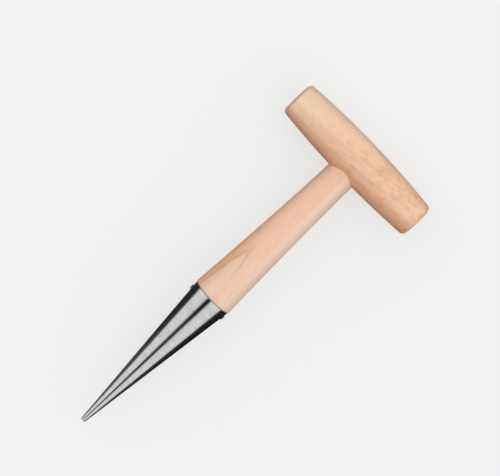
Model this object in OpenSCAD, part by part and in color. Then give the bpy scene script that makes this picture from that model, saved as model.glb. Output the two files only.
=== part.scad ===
// T-handled dibber: a turned wooden crossbar and a tapered wooden shaft, tipped with a steel cone.
// The tool is drawn upright about its own axis, the point at z = 0 and the crossbar along x.
// lay_flat() then puts it down on its side, as it lies on a bench.

/* [Crossbar] */
// Length of the crossbar from end to end
bar_len = 112; // [90:0.5:140]
// Diameter of the crossbar at its middle
bar_d = 30; // [27:0.5:36]
// Diameter that the barrel curve reaches at the crossbar's ends
bar_end_d = 25; // [20:0.5:26]
// Radius of the rounding round the crossbar's end faces
bar_edge_r = 3.1; // [1:0.1:8]

/* [Shaft] */
// Length of the shaft from the rim of the cone to the crossbar's axis
shaft_len = 130.6; // [90:0.1:180]
// Diameter of the shaft at its shoulder above the cone
shaft_base_d = 29.5; // [29.2:0.1:34]
// Diameter of the shaft where it enters the crossbar
shaft_top_d = 21.4; // [16:0.1:23]
// How far the taper bows inwards at the middle of its length
shaft_hollow = 0.4; // [0:0.05:1]
// Radius of the rounding on the shoulder's edge
shoulder_r = 0.9; // [0.3:0.1:1]

/* [Tenon joint] */
// Length of straight tenon that stays in view below the crossbar
tenon_show = 6; // [2:0.5:20]
// Wood left between the floor of the socket and the crown of the crossbar
crown_wall = 7; // [4:0.5:10]
// Thickness of the glue line round and above the tenon
glue_gap = 0.15; // [0.1:0.05:0.3]
// Chamfer on the end of the tenon
tenon_chamfer = 1; // [0.5:0.1:2]
// Diameter of the dimple that the drill's centre point leaves in the socket floor
dimple_d = 3; // [2:0.5:5]
// Depth of that dimple
dimple_h = 1.2; // [0.5:0.1:2]

/* [Steel cone] */
// Length of the cone from its point to its rim
cone_len = 118.5; // [100:0.5:150]
// Outer diameter of the rim
cone_rim_d = 28.8; // [24:0.1:29]
// Diameter of the blunt point
cone_tip_d = 3.4; // [2:0.1:6]
// Thickness of the sheet steel
cone_wall = 0.9; // [0.5:0.1:1.5]
// Length of solid steel behind the point
tip_solid = 8; // [5:0.5:20]
// Radius of the rounding on the point
tip_edge_r = 0.6; // [0.2:0.1:0.9]
// Radius of the rounding on the outer edge of the rim
rim_edge_r = 0.35; // [0.1:0.05:0.45]

/* [Taper seat] */
// Length of the wooden nose inside the cone
nose_len = 70; // [40:1:78]
// Clearance between the nose and the inside of the cone
nose_gap = 0.3; // [0.1:0.05:0.5]
// Gap between the rim of the cone and the shoulder of the shaft
rim_gap = 0.2; // [0.1:0.05:0.5]
// Chamfer on the end of the nose
nose_chamfer = 1; // [0.5:0.1:1.5]

/* [Nails] */
// Diameter of a nail's shank
nail_d = 1.8; // [1.2:0.1:2.4]
// Length of a nail under its head
nail_len = 10; // [6:0.5:11]
// Length of a nail's point
nail_point = 2.4; // [1:0.1:4]
// Diameter of a nail's domed head
nail_head_d = 4.4; // [3:0.1:5.5]
// Height of a nail's domed head
nail_head_h = 0.9; // [0.5:0.1:1.2]
// Distance of the nails from the rim of the cone
nail_inset = 4.7; // [3:0.1:12]
// Clearance round a nail and under its head
nail_gap = 0.05; // [0.02:0.01:0.1]

/* [Hidden] */
$fn = 96;

wood_colour = [0.92, 0.76, 0.63];
steel_colour = [0.78, 0.78, 0.80];
glue_colour = [0.86, 0.78, 0.58];

// Straight steps in which a rounding, the barrel curve and the shaft's taper are drawn
round_steps = 8;
barrel_steps = 24;
taper_steps = 18;
// How far a cutting shape runs past the face that it opens
overcut = 1;

// Places along the tool's axis, measured from the point
shoulder_z = cone_len + rim_gap;
bar_z = cone_len + shaft_len;
taper_top_z = bar_z - bar_d / 2 - tenon_show;
socket_floor_z = bar_z + bar_d / 2 - crown_wall;
tenon_top_z = socket_floor_z - glue_gap;
nose_end_z = cone_len - nose_len;
nail_z = cone_len - nail_inset;
rim_edge_z = cone_len - rim_edge_r;
overall_len = bar_z + bar_d / 2;
// Height of the axis above the surface that the tool lies on
rest_h = max(bar_d, shaft_base_d) / 2;

// The barrel curve is an arc through the crossbar's middle and ends
barrel_sag = (bar_d - bar_end_d) / 2;
barrel_r = (pow(bar_len / 2, 2) + pow(barrel_sag, 2)) / (2 * barrel_sag);
barrel_x = bar_d / 2 - barrel_r;
// The end rounding touches the barrel curve from inside, and the flat end face
edge_y = bar_len / 2 - bar_edge_r;
edge_x = barrel_x + sqrt(pow(barrel_r - bar_edge_r, 2) - pow(edge_y, 2));
edge_angle = atan2(edge_y, edge_x - barrel_x);

// The cone's slope, and its wall measured across the axis
cone_slope = (cone_rim_d - cone_tip_d) / 2 / cone_len;
cone_angle = atan(cone_slope);
wall_across = cone_wall / cos(cone_angle);

socket_r = shaft_top_d / 2 + glue_gap;

function cone_outer_r(z) = cone_tip_d / 2 + cone_slope * z;
function cone_bore_r(z) = cone_outer_r(z) - wall_across;
function nose_r(z) = cone_bore_r(z) - nose_gap;
// Radius at which a rounding of radius r, centred at height z, touches the cone from inside
function cone_edge_r(z, r) = cone_outer_r(z) - r / cos(cone_angle);

// Radius of the shaft's taper, with t running from 0 at the shoulder to 1 at the tenon
function taper_r(t) =
    shaft_base_d / 2 + (shaft_top_d - shaft_base_d) / 2 * t - 4 * shaft_hollow * t * (1 - t);

// Points of an arc about a centre, from one angle to another
function arc(centre, r, from, to, steps) = [
    for (i = [0 : steps])
        let (a = from + (to - from) * i / steps)
            centre + r * [cos(a), sin(a)]
];

// Crossbar outline: x is the radius, y runs along the crossbar
function bar_outline() = concat(
    [[0, -bar_len / 2]],
    arc([edge_x, -edge_y], bar_edge_r, -90, -edge_angle, round_steps),
    arc([barrel_x, 0], barrel_r, -edge_angle, edge_angle, barrel_steps),
    arc([edge_x, edge_y], bar_edge_r, edge_angle, 90, round_steps),
    [[0, bar_len / 2]]
);

// Shaft outline: x is the radius, y runs up the tool's axis
function shaft_outline() =
    let (
        foot_z = nose_end_z + nose_chamfer,
        taper_z = shoulder_z + shoulder_r,
        base_r = shaft_base_d / 2,
        top_r = shaft_top_d / 2
    )
    concat(
        [[0, nose_end_z], [nose_r(foot_z) - nose_chamfer, nose_end_z]],
        [[nose_r(foot_z), foot_z], [nose_r(shoulder_z), shoulder_z]],
        arc([base_r - shoulder_r, taper_z], shoulder_r, -90, 0, round_steps),
        [for (i = [1 : taper_steps])
            let (t = i / taper_steps)
                [taper_r(t), taper_z + (taper_top_z - taper_z) * t]],
        [[top_r, tenon_top_z - tenon_chamfer], [top_r - tenon_chamfer, tenon_top_z]],
        [[0, tenon_top_z]]
    );

// Cone outline: the sheet from its closed point to its open rim
function cone_outline() = concat(
    [[0, 0]],
    arc([cone_edge_r(tip_edge_r, tip_edge_r), tip_edge_r], tip_edge_r, -90, -cone_angle, round_steps),
    arc([cone_edge_r(rim_edge_z, rim_edge_r), rim_edge_z], rim_edge_r, -cone_angle, 90, round_steps),
    [[cone_bore_r(cone_len), cone_len], [cone_bore_r(tip_solid), tip_solid], [0, tip_solid]]
);

// A nail points down, with the underside of its head at z = 0
module nail() {
    dome_r = (pow(nail_head_d / 2, 2) + pow(nail_head_h, 2)) / (2 * nail_head_h);
    rotate_extrude() {
        nail_shank_outline(0, nail_head_h / 4);
        intersection() {
            translate([0, nail_head_h - dome_r]) circle(dome_r);
            square([nail_head_d / 2, nail_head_h]);
        }
    }
}

// Half of a shank, grown on all sides, from its point up to the height top
module nail_shank_outline(grow, top) {
    r = nail_d / 2 + grow;
    polygon([[0, -nail_len - grow], [r, nail_point - nail_len], [r, top], [0, top]]);
}

module nail_hole() {
    rotate_extrude() nail_shank_outline(nail_gap, overcut);
}

// Stands a nail on the outside of the cone, square to the sheet: side is 1 for left and -1 for right
module at_nail(side) {
    rotate([0, 0, side > 0 ? 0 : 180])
        translate([cone_outer_r(nail_z), 0, nail_z])
            rotate([0, 90 + cone_angle, 0])
                translate([0, 0, nail_gap])
                    children();
}

// Turns the upright tool on its side: the axis runs along x and the crossbar along y
module lay_flat() {
    translate([-overall_len / 2, 0, rest_h]) rotate([90, 0, 90]) children();
}

module crossbar_blank() {
    translate([0, 0, bar_z]) rotate([0, 90, 0]) rotate_extrude() polygon(bar_outline());
}

module socket() {
    translate([0, 0, bar_z - bar_d]) cylinder(r = socket_r, h = socket_floor_z - bar_z + bar_d);
    translate([0, 0, socket_floor_z]) cylinder(d1 = dimple_d, d2 = 0, h = dimple_h);
}

module cross_handle() {
    color(wood_colour) difference() {
        crossbar_blank();
        socket();
    }
}

module shaft() {
    color(wood_colour) difference() {
        rotate_extrude() polygon(shaft_outline());
        for (side = [1, -1]) at_nail(side) nail_hole();
    }
}

module tip_cone() {
    color(steel_colour) difference() {
        rotate_extrude() polygon(cone_outline());
        for (side = [1, -1]) at_nail(side) nail_hole();
    }
}

module cone_nail(side) {
    color(steel_colour) at_nail(side) nail();
}

// The glue fills the socket round the tenon, up to the crossbar's own surface
module tenon_glue() {
    color(glue_colour) intersection() {
        crossbar_blank();
        difference() {
            socket();
            rotate_extrude() polygon(shaft_outline());
        }
    }
}

lay_flat() cross_handle();
lay_flat() shaft();
lay_flat() tip_cone();
lay_flat() cone_nail(1);  // left_nail
lay_flat() cone_nail(-1);  // right_nail
lay_flat() tenon_glue();
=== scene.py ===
import math
import bmesh
import bpy
from mathutils import Matrix, Vector


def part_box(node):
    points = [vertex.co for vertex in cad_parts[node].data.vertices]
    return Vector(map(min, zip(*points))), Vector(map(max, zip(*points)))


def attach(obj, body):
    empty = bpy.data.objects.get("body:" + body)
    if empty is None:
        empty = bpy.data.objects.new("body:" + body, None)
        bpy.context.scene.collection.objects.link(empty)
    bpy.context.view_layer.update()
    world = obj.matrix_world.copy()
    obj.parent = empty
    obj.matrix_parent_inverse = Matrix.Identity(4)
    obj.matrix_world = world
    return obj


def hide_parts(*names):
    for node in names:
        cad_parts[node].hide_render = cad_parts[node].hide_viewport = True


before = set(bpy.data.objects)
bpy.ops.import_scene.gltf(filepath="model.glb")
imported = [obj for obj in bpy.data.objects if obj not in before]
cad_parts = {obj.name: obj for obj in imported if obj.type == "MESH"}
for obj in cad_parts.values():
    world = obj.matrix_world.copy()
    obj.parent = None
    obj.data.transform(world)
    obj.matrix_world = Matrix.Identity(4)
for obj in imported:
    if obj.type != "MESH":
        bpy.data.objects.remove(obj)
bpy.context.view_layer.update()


# Steel cone. A thin steel sheet drawn into a long cone with a closed blunt point, and polished on a
# lathe, which leaves fine marks round it. It is pushed over the nose of the shaft and nailed there,
# and it makes the planting hole.
MM = 0.001
cone_low, cone_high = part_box("tip_cone")
tool_axis = Vector((1, 0, 0))
axis_height = (cone_low.z + cone_high.z) / 2
cone_point = Vector((cone_low.x, 0, axis_height))
cone_length = cone_high.x - cone_low.x
cone_rim_radius = 14.4 * MM
cone_tip_radius = 1.7 * MM
cone_slope = (cone_rim_radius - cone_tip_radius) / cone_length
cone_angle = math.atan(cone_slope)
cone_steps = 192
sheet = 0.9 * MM
solid_point = 8 * MM
point_round = 0.6 * MM
point_round_steps = 5
rim_round = 0.35 * MM
rim_round_steps = 4
nail_inset = 4.7 * MM
nail_along = cone_length - nail_inset
dent_radius = 4.2 * MM
dent_depth = 0.14 * MM
dent_rings = 14
dent_reach = 3 * sheet
merge_distance = 0.001 * MM
ring_tolerance = 0.01 * MM
sharp_angle = math.radians(40)


def cone_radius(along):
    """Outer radius of the cone at a distance from its point."""
    return cone_tip_radius + cone_slope * along


def bore_radius(along):
    """Inner radius of the sheet at a distance from the point."""
    return cone_radius(along) - sheet / math.cos(cone_angle)


def turn(outline, origin, axis, steps):
    """Spins an outline of (distance along the axis, radius) points into a closed solid, like a lathe."""
    bm = bmesh.new()
    side = axis.orthogonal().normalized()
    row = [bm.verts.new(origin + axis * along + side * radius) for along, radius in outline]
    for start, end in zip(row, row[1:]):
        bm.edges.new((start, end))
    whole = bm.verts[:] + bm.edges[:]
    bmesh.ops.spin(bm, geom=whole, cent=origin, axis=axis, angle=math.tau, steps=steps, use_merge=True)
    bmesh.ops.remove_doubles(bm, verts=bm.verts[:], dist=merge_distance)
    bmesh.ops.recalc_face_normals(bm, faces=bm.faces[:])
    return bm


def ease_ring(bm, origin, axis, along, radius, amount, segments):
    """Rounds the ring of edges that a turned solid has at this place along its axis and this radius."""
    def on_ring(vert):
        reach = vert.co - origin
        height = reach.dot(axis)
        out = (reach - axis * height).length
        return abs(height - along) < ring_tolerance and abs(out - radius) < ring_tolerance

    ring = [edge for edge in bm.edges if all(on_ring(vert) for vert in edge.verts)]
    bmesh.ops.bevel(
        bm, geom=ring, offset=amount, affect="EDGES", segments=segments, profile=0.5, material=-1,
        clamp_overlap=False)


def make_piece(name, bm):
    """Turns a bmesh into an object, smooth apart from its sharp edges."""
    mesh = bpy.data.meshes.new(name)
    bm.to_mesh(mesh)
    bm.free()
    mesh.shade_smooth()
    mesh.set_sharp_from_angle(angle=sharp_angle)
    piece = bpy.data.objects.new(name, mesh)
    bpy.context.scene.collection.objects.link(piece)
    return piece


def srgb(red, green, blue):
    """A colour as it looks on a screen, from 0 to 255, as the linear values that a shader takes."""
    linear = [
        ((level / 255 + 0.055) / 1.055) ** 2.4 if level > 10 else level / 255 / 12.92
        for level in (red, green, blue)]
    return (*linear, 1)


def add_node(tree, kind, inputs=None, **settings):
    """Adds a shader node, with values or other nodes' sockets for its inputs."""
    made = tree.nodes.new("ShaderNode" + kind)
    for name, value in settings.items():
        setattr(made, name, value)
    for key, value in (inputs or {}).items():
        if isinstance(value, bpy.types.NodeSocket):
            tree.links.new(value, made.inputs[key])
        else:
            made.inputs[key].default_value = value
    return made


def calc(tree, operation, *values):
    """The result of a Math node."""
    return add_node(tree, "Math", dict(enumerate(values)), operation=operation).outputs[0]


def times(tree, first, *others):
    """The product of two or more values."""
    for other in others:
        first = calc(tree, "MULTIPLY", first, other)
    return first


def vector(tree, operation, *values):
    """The vector that a Vector Math node gives."""
    return add_node(tree, "VectorMath", dict(enumerate(values)), operation=operation).outputs["Vector"]


def measure(tree, operation, *values):
    """The number that a Vector Math node gives, such as a length."""
    return add_node(tree, "VectorMath", dict(enumerate(values)), operation=operation).outputs["Value"]


def scaled(tree, point, x, y, z):
    """A point stretched along each axis, so that a pattern on it is squeezed the other way."""
    return vector(tree, "MULTIPLY", point, (x, y, z))


def noise(tree, point, scale, detail=2.0, rough=0.5):
    """A soft random value of about 0.3 to 0.7 at each point."""
    inputs = {"Vector": point, "Scale": scale, "Detail": detail, "Roughness": rough}
    return add_node(tree, "TexNoise", inputs).outputs["Fac"]


def remap(tree, value, low, high, to_low=0.0, to_high=1.0):
    """A value eased from one range to another, and held at its ends."""
    inputs = {"Value": value, "From Min": low, "From Max": high, "To Min": to_low, "To Max": to_high}
    return add_node(tree, "MapRange", inputs, interpolation_type="SMOOTHSTEP").outputs[0]


def mix(tree, factor, first, second):
    """Two colours mixed by a factor."""
    return add_node(tree, "Mix", {0: factor, 6: first, 7: second}, data_type="RGBA").outputs[2]


def new_group(name, inputs, outputs):
    """An empty node group with named sockets, and its input and output nodes' sockets."""
    group = bpy.data.node_groups.new(name, "ShaderNodeTree")
    for socket, kind in inputs.items():
        group.interface.new_socket(socket, in_out="INPUT", socket_type="NodeSocket" + kind)
    for socket, kind in outputs.items():
        group.interface.new_socket(socket, in_out="OUTPUT", socket_type="NodeSocket" + kind)
    return group, group.nodes.new("NodeGroupInput").outputs, group.nodes.new("NodeGroupOutput").inputs


def new_material(name):
    """A material with its node tree and its Principled shader."""
    material = bpy.data.materials.new(name)
    material.use_nodes = True
    return material, material.node_tree, material.node_tree.nodes["Principled BSDF"]


def own_point(tree):
    """Where a point of the surface lies in its piece, in metres."""
    return add_node(tree, "TexCoord").outputs["Object"]


def lathe_marks_group():
    """Fine short marks that polishing leaves round a turned steel piece, whose lathe axis is Axis."""
    group, given, result = new_group(
        "lathe_marks",
        {"Point": "Vector", "Axis": "Vector", "Depth": "Float"},
        {"Normal": "Vector", "Line": "Float", "Smear": "Float"})
    stretch = 0.2
    point = given["Point"]
    axis = given["Axis"]
    along = vector(group, "MULTIPLY", axis, measure(group, "DOT_PRODUCT", point, axis))
    drawn_out = vector(group, "ADD", scaled(group, point, stretch, stretch, stretch), along)
    fine = noise(group, drawn_out, scale=1200, detail=4, rough=0.65)
    smear = noise(group, drawn_out, scale=240)
    lean = times(group, calc(group, "SUBTRACT", fine, 0.5), given["Depth"])
    surface = add_node(group, "NewGeometry").outputs["Normal"]
    leaned = vector(group, "ADD", surface, vector(group, "MULTIPLY", axis, lean))
    group.links.new(vector(group, "NORMALIZE", leaned), result["Normal"])
    group.links.new(remap(group, fine, 0.35, 0.7), result["Line"])
    group.links.new(remap(group, smear, 0.4, 0.65), result["Smear"])
    return group


def lathe_marks_on(tree, axis, depth=0.0):
    """The lathe marks on a material's own piece."""
    inputs = {"Point": own_point(tree), "Axis": axis, "Depth": depth}
    return add_node(tree, "Group", inputs, node_tree=lathe_marks).outputs


cone_outline = [
    (0, 0),
    (0, cone_tip_radius),
    (cone_length, cone_rim_radius),
    (cone_length, bore_radius(cone_length)),
    (solid_point, bore_radius(solid_point)),
    (solid_point, 0),
]
bm = turn(cone_outline, cone_point, tool_axis, cone_steps)
ease_ring(bm, cone_point, tool_axis, 0, cone_tip_radius, point_round, point_round_steps)
ease_ring(bm, cone_point, tool_axis, cone_length, cone_rim_radius, rim_round, rim_round_steps)
for ring in range(dent_rings + 1):
    along = nail_along + dent_radius * (2 * ring / dent_rings - 1)
    bmesh.ops.bisect_plane(
        bm, geom=bm.verts[:] + bm.edges[:] + bm.faces[:], plane_co=cone_point + tool_axis * along,
        plane_no=tool_axis)
nail_places = {}
for name, side in (("left_nail", 1), ("right_nail", -1)):
    outwards = Vector((-math.sin(cone_angle), side * math.cos(cone_angle), 0))
    seat = cone_point + Vector((nail_along, side * cone_radius(nail_along), 0))
    nail_places[name] = (seat, outwards)
    for vert in bm.verts:
        reach = vert.co - seat
        height = reach.dot(outwards)
        away = (reach - outwards * height).length
        if away < dent_radius and abs(height) < dent_reach:
            vert.co -= outwards * dent_depth * (1 - (away / dent_radius) ** 2) ** 2
cone = make_piece("steel_cone", bm)

lathe_marks = lathe_marks_group()
bright_steel = srgb(224, 224, 226)
marked_steel = srgb(200, 200, 203)
line_share = 0.7
cone_mark_depth = 0.08
cone_roughness = (0.08, 0.13)
material, tree, shader = new_material("polished_sheet_steel")
marks = lathe_marks_on(tree, tool_axis, cone_mark_depth)
smeared = times(tree, marks["Smear"], 1 - line_share)
worn = calc(tree, "MULTIPLY_ADD", marks["Line"], line_share, smeared)
tree.links.new(mix(tree, worn, bright_steel, marked_steel), shader.inputs["Base Color"])
shader.inputs["Metallic"].default_value = 1
tree.links.new(remap(tree, marks["Line"], 0, 1, *cone_roughness), shader.inputs["Roughness"])
tree.links.new(marks["Normal"], shader.inputs["Normal"])
cone.data.materials.append(material)
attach(cone, "root")
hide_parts("tip_cone")


# Shaft. One stick of pale hardwood, turned and sanded: a tapered nose inside the cone, a shoulder that
# the cone's rim stops at, a slim taper that bows in a little, and a straight tenon that is glued into
# the crossbar.
shaft_low, shaft_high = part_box("shaft")
bar_low, bar_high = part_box("cross_handle")
tool_middle = Vector((0, 0, axis_height))
shaft_foot = Vector((shaft_low.x, 0, axis_height))
foot_along = shaft_low.x - cone_low.x
shaft_steps = 128
rim_gap = 0.2 * MM
nose_gap = 0.3 * MM
nose_chamfer = 1 * MM
shoulder = cone_high.x + rim_gap - shaft_low.x
shoulder_round = 0.9 * MM
shoulder_round_steps = 5
base_radius = (shaft_high.y - shaft_low.y) / 2
tenon_radius = 10.7 * MM
tenon_in_view = 6 * MM
tenon_chamfer = 1 * MM
tenon_end = shaft_high.x - shaft_low.x
taper_start = shoulder + shoulder_round
taper_end = bar_low.x - tenon_in_view - shaft_low.x
taper_hollow = 0.4 * MM
taper_steps = 24


def nose_radius(along):
    """Radius of the wooden nose at a distance from the shaft's lower end."""
    return bore_radius(along + foot_along) - nose_gap


def taper_point(share):
    """A point of the taper's outline, from 0 at the shoulder to 1 at the tenon."""
    radius = base_radius + (tenon_radius - base_radius) * share - 4 * taper_hollow * share * (1 - share)
    return taper_start + (taper_end - taper_start) * share, radius


def drift(tree, point, place, direction, reach):
    """A value that eases from 0 at a place in the piece to 1 at this reach from it in one direction."""
    way = Vector(direction).normalized()
    begin = Vector(place).dot(way)
    return remap(tree, measure(tree, "DOT_PRODUCT", point, way), begin, begin + reach)


def hardwood_group():
    """Grain of a pale hardwood. Point is in metres from the heart of the tree, with z along the grain.

    Grain is the same direction in the piece, and Bearing the angle round the heart where it was cut.
    """
    ring_wander = 7 * MM
    ring_ripple = 0.3 * MM
    dark_ring_width = 0.45 * MM
    dark_ring_edge = 0.12 * MM
    tan_fade = 0.2 * MM
    pale_fade = 0.8 * MM
    group, given, result = new_group(
        "hardwood",
        {"Point": "Vector", "Grain": "Vector", "Bearing": "Float", "Ring Width": "Float",
         "Ring Line": "Float", "Dark Ring": "Float", "Dark Share": "Float", "Blush": "Float",
         "Tan And Painted Shade": "Float", "Figure": "Float",
         "Cream": "Color", "Rose": "Color", "Tan": "Color", "Brown": "Color"},
        {"Color": "Color", "Roughness": "Float", "Height": "Float"})
    point = given["Point"]
    place = add_node(group, "SeparateXYZ", {0: point}).outputs
    on_cut = scaled(group, point, 1, 1, 0)
    radial = measure(group, "LENGTH", on_cut)
    angle = calc(group, "SUBTRACT", calc(group, "ARCTAN2", place["Y"], place["X"]), given["Bearing"])
    around = times(group, angle, radial)
    surface = add_node(group, "NewGeometry").outputs["Normal"]
    facing = calc(group, "ABSOLUTE", measure(group, "DOT_PRODUCT", surface, given["Grain"]))
    end_grain = remap(group, facing, 0.85, 0.97)

    def grain_noise(squeeze, scale, detail=2.0, rough=0.5):
        """Noise on a point squeezed along the grain, so that its spots are long that way."""
        return noise(group, scaled(group, point, 1, 1, squeeze), scale, detail, rough)

    # Rings: soft darker lines, and one sharp dark ring with paler wood outside it
    wander = calc(group, "SUBTRACT", grain_noise(squeeze=0.15, scale=30), 0.5)
    ripple = calc(group, "SUBTRACT", grain_noise(squeeze=0.3, scale=300), 0.5)
    growth = calc(group, "MULTIPLY_ADD", wander, ring_wander, radial)
    phase = calc(group, "FRACT", calc(group, "DIVIDE", growth, given["Ring Width"]))
    strength = calc(group, "MULTIPLY_ADD", end_grain, 0.3, given["Ring Line"])
    late = times(group, remap(group, phase, 0.4, 0.85), remap(group, phase, 0.85, 1, 1, 0), strength)
    rippled = calc(group, "MULTIPLY_ADD", ripple, ring_ripple, radial)
    past = calc(group, "SUBTRACT", rippled, given["Dark Ring"])
    inner_side = remap(group, past, -dark_ring_width, 0)
    outer_side = remap(group, past, 0, dark_ring_edge, 1, 0)
    # Tan Share lays on the Tan colour, full inside the dark ring and half outside it, and deepens the
    # ring's line there. On the crossbar this is painted shade on the side turned from the light; on the
    # shaft it is partly the wood's own tone and partly painted shade.
    line_depth = calc(group, "MULTIPLY_ADD", given["Tan And Painted Shade"], 0.35, 0.3)
    sharp = times(group, inner_side, outer_side, line_depth, given["Dark Share"])
    tan = times(group, given["Tan And Painted Shade"], remap(group, past, 0, tan_fade, 1, 0.5))
    outside = remap(group, past, 0, pale_fade, 0, 0.9)

    # Broad drifts of colour, soft mottling, fine fibres, streaks and the short dark rays
    patch = calc(group, "SUBTRACT", grain_noise(squeeze=0.4, scale=60, detail=3, rough=0.55), 0.5)
    blush = calc(group, "MULTIPLY_ADD", patch, 1.7, given["Blush"])
    blush = calc(group, "SUBTRACT", blush, outside)
    mottle = grain_noise(squeeze=0.5, scale=300, detail=3, rough=0.6)
    mottle = times(group, remap(group, mottle, 0.45, 0.75, 0, 0.25), given["Figure"])
    fibre = grain_noise(squeeze=0.03, scale=1500, detail=3, rough=0.6)
    fibres = remap(group, fibre, 0.5, 0.75, 0, 0.1)
    cluster = remap(group, grain_noise(squeeze=0.4, scale=70), 0.48, 0.62)
    streak = remap(group, grain_noise(squeeze=0.12, scale=1100, rough=0.55), 0.5, 0.72)
    streak = times(group, streak, remap(group, cluster, 0, 1, 0.08, 0.24), given["Figure"])
    ribbon = add_node(group, "CombineXYZ", {
        "X": times(group, around, 2.2),
        "Y": times(group, radial, 0.5),
        "Z": times(group, place["Z"], 0.22)}).outputs[0]
    cells = add_node(group, "TexVoronoi", {"Vector": ribbon, "Scale": 620}).outputs["Distance"]
    ray = times(group, remap(group, cells, 0.12, 0.3, 0.55, 0), cluster, given["Figure"])

    # Cut ends: darker, with pores as fine dots and pale lines that run out from the heart
    dots = add_node(group, "TexVoronoi", {"Vector": on_cut, "Scale": 1500}).outputs["Distance"]
    pores = times(group, remap(group, dots, 0.15, 0.35, 0.5, 0), end_grain)
    fan = add_node(group, "CombineXYZ", {"X": around, "Y": times(group, radial, 0.05)}).outputs[0]
    spokes = times(group, remap(group, noise(group, fan, scale=1200), 0.55, 0.7, 0, 0.4), end_grain)

    colour = mix(group, blush, given["Cream"], given["Rose"])
    colour = mix(group, tan, colour, given["Tan"])
    colour = mix(group, times(group, end_grain, 0.22), colour, given["Brown"])
    colour = mix(group, spokes, colour, given["Cream"])
    for share in (pores, late, sharp, mottle, fibres, streak, ray):
        colour = mix(group, share, colour, given["Brown"])
    group.links.new(colour, result["Color"])
    group.links.new(remap(group, fibre, 0.3, 0.7, 0.42, 0.58), result["Roughness"])
    group.links.new(calc(group, "MULTIPLY_ADD", ray, -1.5, fibre), result["Height"])
    return group


def hardwood_material(name, middle, to_heart, grain, look):
    """Wood of one blank: to_heart leads from its middle to the tree's heart, grain runs up the tree."""
    material, tree, shader = new_material(name)
    point = own_point(tree)
    turned = grain.to_track_quat("Z", "Y")
    blank = turned.inverted() @ -to_heart
    in_tree = add_node(
        tree, "Mapping", {"Vector": point, "Location": middle + to_heart, "Rotation": turned.to_euler()},
        vector_type="TEXTURE").outputs[0]
    cut = {"Point": in_tree, "Grain": grain.normalized(), "Bearing": math.atan2(blank.y, blank.x)}
    wood = add_node(tree, "Group", {**cut, **look}, node_tree=hardwood)
    tree.links.new(wood.outputs["Color"], shader.inputs["Base Color"])
    tree.links.new(wood.outputs["Roughness"], shader.inputs["Roughness"])
    grain_depth = 0.1 * MM
    relief = {"Height": wood.outputs["Height"], "Strength": 0.25, "Distance": grain_depth}
    tree.links.new(add_node(tree, "Bump", relief).outputs[0], shader.inputs["Normal"])
    return material, tree, point, wood.inputs


shaft_outline = [
    (0, 0),
    (0, nose_radius(nose_chamfer) - nose_chamfer),
    (nose_chamfer, nose_radius(nose_chamfer)),
    (shoulder, nose_radius(shoulder)),
    (shoulder, base_radius),
    *[taper_point(step / taper_steps) for step in range(1, taper_steps + 1)],
    (tenon_end - tenon_chamfer, tenon_radius),
    (tenon_end, tenon_radius - tenon_chamfer),
    (tenon_end, 0),
]
bm = turn(shaft_outline, shaft_foot, tool_axis, shaft_steps)
ease_ring(bm, shaft_foot, tool_axis, shoulder, base_radius, shoulder_round, shoulder_round_steps)
shaft = make_piece("wooden_shaft", bm)

hardwood = hardwood_group()
shaft_heart_angle = math.radians(27)
shaft_heart_side = Vector((0, -math.sin(shaft_heart_angle), -math.cos(shaft_heart_angle)))
shaft_heart_away = 150 * MM
dark_ring_out = 13 * MM
shaft_look = {
    "Ring Width": 5 * MM,
    "Ring Line": 0.07,
    "Dark Ring": shaft_heart_away + dark_ring_out,
    "Figure": 0.42,
    "Cream": srgb(238, 204, 180),
    "Rose": srgb(238, 192, 163),
    "Tan": srgb(233, 180, 142),
    "Brown": srgb(186, 126, 86),
}
shaft_wood, tree, point, look = hardwood_material(
    "shaft_hardwood", tool_middle, shaft_heart_side * shaft_heart_away, tool_axis, shaft_look)
dark_share = drift(tree, point, place=(0, 2 * MM, 0), direction=(0.35, 1, 0), reach=5.5 * MM)
blush = drift(tree, point, place=(0, -8 * MM, 0), direction=(0, 1, 0), reach=8 * MM)
# Tan towards the shaft's +Y side, which is turned from the light: partly the wood's own tone, partly
# painted shade.
tan_and_painted_shade = drift(tree, point, place=(30 * MM, 5 * MM, 0), direction=(-0.07, 1, 0), reach=9 * MM)
tree.links.new(dark_share, look["Dark Share"])
tree.links.new(blush, look["Blush"])
tree.links.new(tan_and_painted_shade, look["Tan And Painted Shade"])
shaft.data.materials.append(shaft_wood)
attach(shaft, "root")
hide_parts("shaft")


# Nails. Two small round-headed steel nails, one on each side of the cone. They are driven square
# through the sheet, which dents a little round them, into the wooden nose, and keep the cone on.
nail_radius = 0.9 * MM
nail_length = 10 * MM
nail_point = 2.4 * MM
nail_steps = 48
head_radius = 2.2 * MM
head_height = 0.9 * MM
dome_radius = (head_radius**2 + head_height**2) / (2 * head_height)
dome_angle = math.asin(head_radius / dome_radius)
dome_steps = 6
nail_gap = 0.05 * MM
hole_radius = nail_radius + nail_gap
hole_overshoot = 2 * MM
hole_steps = 32


def dome_point(share):
    """A point of the head's domed outline, from 0 at its edge to 1 at its top."""
    angle = dome_angle * (1 - share)
    return head_height - dome_radius * (1 - math.cos(angle)), dome_radius * math.sin(angle)


def drill(piece, bm):
    """Cuts the solid bm out of a piece, for good."""
    cutter = make_piece("cutter", bm)
    cut = piece.modifiers.new("cut", "BOOLEAN")
    cut.operation = "DIFFERENCE"
    cut.solver = "EXACT"
    cut.object = cutter
    bpy.context.view_layer.update()
    drilled = bpy.data.meshes.new_from_object(piece.evaluated_get(bpy.context.evaluated_depsgraph_get()))
    clean = bmesh.new()
    clean.from_mesh(drilled)
    bmesh.ops.remove_doubles(clean, verts=clean.verts[:], dist=merge_distance)
    bmesh.ops.dissolve_degenerate(clean, edges=clean.edges[:], dist=merge_distance)
    clean.to_mesh(drilled)
    clean.free()
    piece.modifiers.clear()
    piece.data = drilled
    drilled.set_sharp_from_angle(angle=sharp_angle)
    bpy.data.objects.remove(cutter)


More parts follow.
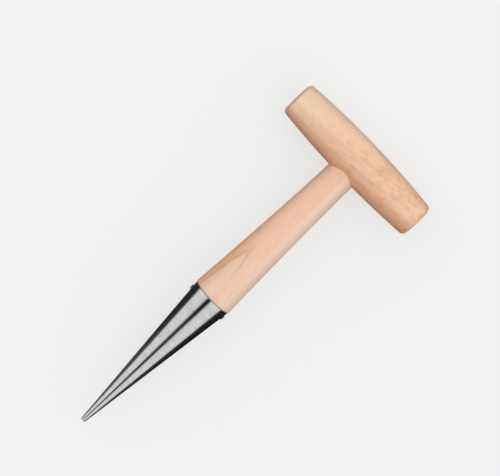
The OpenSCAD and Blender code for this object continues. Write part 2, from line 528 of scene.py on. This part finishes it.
nail_outline = [
    (-nail_length, 0),
    (nail_point - nail_length, nail_radius),
    (0, nail_radius),
    *[dome_point(step / dome_steps) for step in range(dome_steps + 1)],
]
hole_outline = [
    (-nail_length - nail_gap, 0),
    (nail_point - nail_length, hole_radius),
    (hole_overshoot, hole_radius),
    (hole_overshoot, 0),
]
bright_nail = srgb(188, 188, 190)
dull_nail = srgb(140, 138, 136)
nail_roughness = (0.22, 0.4)
material, tree, shader = new_material("nail_steel")
marks = lathe_marks_on(tree, (0, 1, 0))
tree.links.new(mix(tree, marks["Line"], bright_nail, dull_nail), shader.inputs["Base Color"])
shader.inputs["Metallic"].default_value = 1
tree.links.new(remap(tree, marks["Smear"], 0, 1, *nail_roughness), shader.inputs["Roughness"])
for name, (seat, outwards) in nail_places.items():
    under_head = seat + outwards * nail_gap
    bm = turn(nail_outline, under_head, outwards, nail_steps)
    nail = make_piece(name.replace("nail", "cone_nail"), bm)
    for holder in (cone, shaft):
        drill(holder, turn(hole_outline, under_head, outwards, hole_steps))
    nail.data.materials.append(material)
    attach(nail, "root")
    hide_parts(name)


# Glue line. The wood glue that fills the socket round the tenon and holds the crossbar on. Only its
# edge shows, as a hairline where the shaft enters the crossbar.
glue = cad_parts["tenon_glue"]
pale_glue = srgb(196, 158, 118)
dark_glue = srgb(164, 122, 86)
glue_roughness = (0.3, 0.5)
material, tree, shader = new_material("cured_wood_glue")
clouds = remap(tree, noise(tree, own_point(tree), scale=900, detail=3), 0.35, 0.65)
tree.links.new(mix(tree, clouds, pale_glue, dark_glue), shader.inputs["Base Color"])
tree.links.new(remap(tree, clouds, 0, 1, *glue_roughness), shader.inputs["Roughness"])
glue.data.materials.clear()
glue.data.materials.append(material)


# Crossbar. The hand grip: a hardwood barrel with softly rounded ends, turned and sanded, with a socket
# bored into its side for the shaft's tenon, which is glued in there.
bar_centre = (bar_low + bar_high) / 2
bar_axis = Vector((0, 1, 0))
bar_half = (bar_high.y - bar_low.y) / 2
bar_radius = (bar_high.z - bar_low.z) / 2
bar_end_radius = 12.5 * MM
bar_steps = 128
bar_round = 3.1 * MM
bar_round_steps = 8
barrel_sag = bar_radius - bar_end_radius
barrel_arc = (bar_half**2 + barrel_sag**2) / (2 * barrel_sag)
barrel_steps = 24
barrel_end_turn = math.pi / 2 - math.asin(bar_half / barrel_arc)
glue_gap = 0.15 * MM
socket_radius = tenon_radius + glue_gap
socket_overshoot = 5 * MM
socket_start = Vector((bar_low.x - socket_overshoot, 0, axis_height))
socket_depth = shaft_high.x + glue_gap - socket_start.x
socket_steps = 128
dimple_radius = 1.5 * MM
dimple_depth = 1.2 * MM


def barrel_point(step):
    """A point of the barrel's outline, from one end of the crossbar to the other."""
    along = bar_half * (2 * step / barrel_steps - 1)
    return along, math.sqrt(barrel_arc**2 - along**2) - barrel_arc + bar_radius


barrel = [barrel_point(step) for step in range(barrel_steps + 1)]
bm = turn([(-bar_half, 0), *barrel, (bar_half, 0)], bar_centre, bar_axis, bar_steps)
edge_offset = bar_round * math.tan(barrel_end_turn / 2)
for end in (-bar_half, bar_half):
    ease_ring(bm, bar_centre, bar_axis, end, bar_end_radius, edge_offset, bar_round_steps)
crossbar = make_piece("crossbar", bm)
socket_outline = [
    (0, 0),
    (0, socket_radius),
    (socket_depth, socket_radius),
    (socket_depth, dimple_radius),
    (socket_depth + dimple_depth, 0),
]
drill(crossbar, turn(socket_outline, socket_start, tool_axis, socket_steps))

bar_heart_side = Vector((-0.8, 0, -0.6))
bar_heart_away = 65 * MM
outside_bar = 2 * bar_heart_away
grain_slope = 0.1
bar_grain = bar_axis + bar_heart_side * grain_slope
bar_look = {
    "Ring Width": 6 * MM,
    "Ring Line": 0.09,
    "Dark Ring": outside_bar,
    "Cream": srgb(237, 202, 172),
    "Rose": srgb(236, 189, 156),
    "Tan": srgb(229, 171, 133),
    "Brown": srgb(174, 116, 78),
}
bar_wood, tree, point, look = hardwood_material(
    "crossbar_hardwood", bar_centre, bar_heart_side * bar_heart_away, bar_grain, bar_look)
blush_from = bar_centre + Vector((5, 40, 0)) * MM
pale_end = bar_centre + Vector((0, -47, 0)) * MM
near_side = Vector((-0.96, -0.05, -0.29))
painted_shade_from = bar_centre - near_side * 2 * MM
figure_from = bar_centre + Vector((6, 40, 0)) * MM
figure_range = (0.4, 1.35)
blush = drift(tree, point, place=blush_from, direction=(-3, -1, 0), reach=13 * MM)
from_end = scaled(tree, vector(tree, "SUBTRACT", point, pale_end), 1, 0.35, 0)
paler = remap(tree, measure(tree, "LENGTH", from_end), 1 * MM, 9 * MM, 0.45, 0)
# Tan on the crossbar's side that faces the point and the floor, away from the light: painted shade, a
# warmer and darker colour there.
tan_and_painted_shade = drift(tree, point, place=painted_shade_from, direction=near_side, reach=9 * MM)
figure = drift(tree, point, place=figure_from, direction=(-1, -0.35, 0), reach=30 * MM)
tree.links.new(calc(tree, "SUBTRACT", blush, paler), look["Blush"])
tree.links.new(tan_and_painted_shade, look["Tan And Painted Shade"])
tree.links.new(remap(tree, figure, 0, 1, *figure_range), look["Figure"])
crossbar.data.materials.append(bar_wood)
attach(crossbar, "root")
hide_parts("cross_handle")


# Floor. A plain pale sheet that the tool lies on, with a soft shadow. It looks as pale as the tent round
# it, and throws less light back up than it seems to, so that undersides are shaded.
floor_half = 4.0
pale_grey = srgb(242, 242, 242)
bounce_grey = srgb(120, 116, 112)
glow_share = 0.75


def seen_rays(tree):
    """1 for rays that see, straight or by way of metal or glass, and 0 for those that gather light."""
    path = add_node(tree, "LightPath").outputs
    seen = calc(tree, "MAXIMUM", path["Is Camera Ray"], path["Is Glossy Ray"])
    return calc(tree, "MAXIMUM", seen, path["Is Transmission Ray"])


bm = bmesh.new()
bmesh.ops.create_grid(bm, x_segments=1, y_segments=1, size=floor_half)
floor = make_piece("floor", bm)
material, tree, shader = new_material("pale_floor")
tree.nodes.remove(shader)
shaded = add_node(tree, "BsdfDiffuse", {"Color": pale_grey}).outputs[0]
glow = add_node(tree, "Emission", {"Color": pale_grey}).outputs[0]
pale = add_node(tree, "MixShader", {0: glow_share, 1: shaded, 2: glow}).outputs[0]
bounce = add_node(tree, "BsdfDiffuse", {"Color": bounce_grey}).outputs[0]
surface = add_node(tree, "MixShader", {0: seen_rays(tree), 1: bounce, 2: pale}).outputs[0]
tree.links.new(surface, tree.nodes["Material Output"].inputs["Surface"])
floor.data.materials.append(material)


# Cards. Two dark cards lie beside the tool with their outer sides turned up, and a wide one with a dark
# middle hangs over it. Each fades to dim and then to the pale of the tent. Only reflections show them,
# and they give the steel its dark bands.
card_length = 2.1
card_middle = -0.55
dim_grey = srgb(234, 234, 235)
side_width = 1.2
side_height = 0.9
side_lift = 0.3 * MM
side_black = 35 * MM
side_span = (cone_high.x - side_black, cone_low.x)
strip_height = 1.2
strip_lean = math.radians(3.6)
strip_centre = strip_height * math.tan(strip_lean)
strip_shades = (srgb(24, 24, 26), srgb(62, 62, 65))
strip_angles = (5.6, 20.5, 46)
strip_fades = [strip_height * math.tan(math.radians(angle)) for angle in strip_angles]
mirror_angle = math.radians(19.7)
mirror_shift = strip_height * math.tan(mirror_angle)
strip_black = 20 * MM
strip_span = (cone_high.x - mirror_shift - strip_black, cone_low.x - mirror_shift)


def flat_card(width, place):
    """A flat card with its long side along the tool."""
    bm = bmesh.new()
    bmesh.ops.create_grid(bm, x_segments=1, y_segments=1, size=0.5)
    bmesh.ops.scale(bm, vec=(card_length, width, 1), verts=bm.verts[:])
    bmesh.ops.translate(bm, vec=place, verts=bm.verts[:])
    return bm


def faded_card(name, bm, shades, shade_span, across, fades, centre=0.0):
    """A card of two dark shades along the tool, that fades to dim and then to pale away from its centre.

    fades holds how far from the centre, on the axis across, it is dark, has become dim and is pale.
    """
    card = make_piece(name, bm)
    material, tree, shader = new_material(name)
    tree.nodes.remove(shader)
    place = add_node(tree, "SeparateXYZ", {0: own_point(tree)}).outputs
    away = calc(tree, "ABSOLUTE", calc(tree, "SUBTRACT", place[across], centre))
    dark_to, dim_at, pale_from = fades
    dark = mix(tree, remap(tree, place["X"], *shade_span), *shades)
    dim = mix(tree, remap(tree, away, dark_to, dim_at), dark, dim_grey)
    colour = mix(tree, remap(tree, away, dim_at, pale_from), dim, pale_grey)
    glow = add_node(tree, "Emission", {"Color": colour}).outputs[0]
    tree.links.new(glow, tree.nodes["Material Output"].inputs["Surface"])
    card.data.materials.append(material)
    card.visible_camera = False
    card.visible_diffuse = False
    card.visible_shadow = False
    card.visible_transmission = False


for name, side, shades, dark_to, dim_at in (
        ("left_card", 1, (srgb(46, 46, 47), srgb(100, 100, 102)), 0.0, 0.2),
        ("right_card", -1, (srgb(33, 31, 35), srgb(58, 56, 60)), 0.02, 0.31)):
    bm = flat_card(side_width, (card_middle, side * side_width / 2, side_lift))
    outer = [edge for edge in bm.edges if all(abs(vert.co.y) > side_width / 2 for vert in edge.verts)]
    raised = bmesh.ops.extrude_edge_only(bm, edges=outer)["geom"]
    raised = [part for part in raised if isinstance(part, bmesh.types.BMVert)]
    bmesh.ops.translate(bm, vec=(0, 0, side_height), verts=raised)
    faded_card(name, bm, shades, side_span, "Z", (dark_to, dim_at, side_height))
bm = flat_card(2 * strip_fades[-1], (card_middle, strip_centre, strip_height))
faded_card("card_above", bm, strip_shades, strip_span, "Y", strip_fades, strip_centre)


# Light. A pale tent all round, with no lamp. It looks an even pale grey, also in reflections. The light
# that it gives is strongest from the tool's two sides and weakest from beyond its point.
even_light = 0.97
side_light = 0.45
right_light = 0.08
bar_light = 0.5
end_falloff = 0.3
world = bpy.data.worlds.new("light_tent")
bpy.context.scene.world = world
world.use_nodes = True
tree = world.node_tree
direction = add_node(tree, "TexCoord").outputs["Generated"]
bend = scaled(tree, direction, -end_falloff, side_light, 0)
pull = vector(tree, "ADD", bend, (bar_light, -right_light, 0))
tent = calc(tree, "ADD", measure(tree, "DOT_PRODUCT", direction, pull), even_light)
tint = mix(tree, seen_rays(tree), tent, pale_grey)
tree.links.new(tint, tree.nodes["Background"].inputs["Color"])
bpy.context.scene.view_settings.view_transform = "Standard"


# Camera. A long lens looks down at the tool as in the photograph, a little from the crossbar's side and
# its left end, and is turned so that the point lies at the lower left.
lean_to_bar = math.radians(7.5)
lean_to_left = math.radians(2.5)
roll = math.radians(43.55)
camera_right = 14.82 * MM
camera_up = 29.31 * MM
camera_away = 2715.5 * MM
back = Vector((
    math.sin(lean_to_bar),
    math.sin(lean_to_left) * math.cos(lean_to_bar),
    math.cos(lean_to_left) * math.cos(lean_to_bar)))
level = Vector((
    math.cos(lean_to_bar),
    -math.sin(lean_to_left) * math.sin(lean_to_bar),
    -math.cos(lean_to_left) * math.sin(lean_to_bar)))
upright = back.cross(level)
right = level * math.cos(roll) - upright * math.sin(roll)
up = level * math.sin(roll) + upright * math.cos(roll)
lens = bpy.data.cameras.new("camera")
lens.lens = 300
lens.sensor_width = 36
camera = bpy.data.objects.new("camera", lens)
place = tool_middle + right * camera_right + up * camera_up + back * camera_away
camera.matrix_world = Matrix.Translation(place) @ Matrix((right, up, back)).transposed().to_4x4()
bpy.context.scene.collection.objects.link(camera)
bpy.context.scene.camera = camera
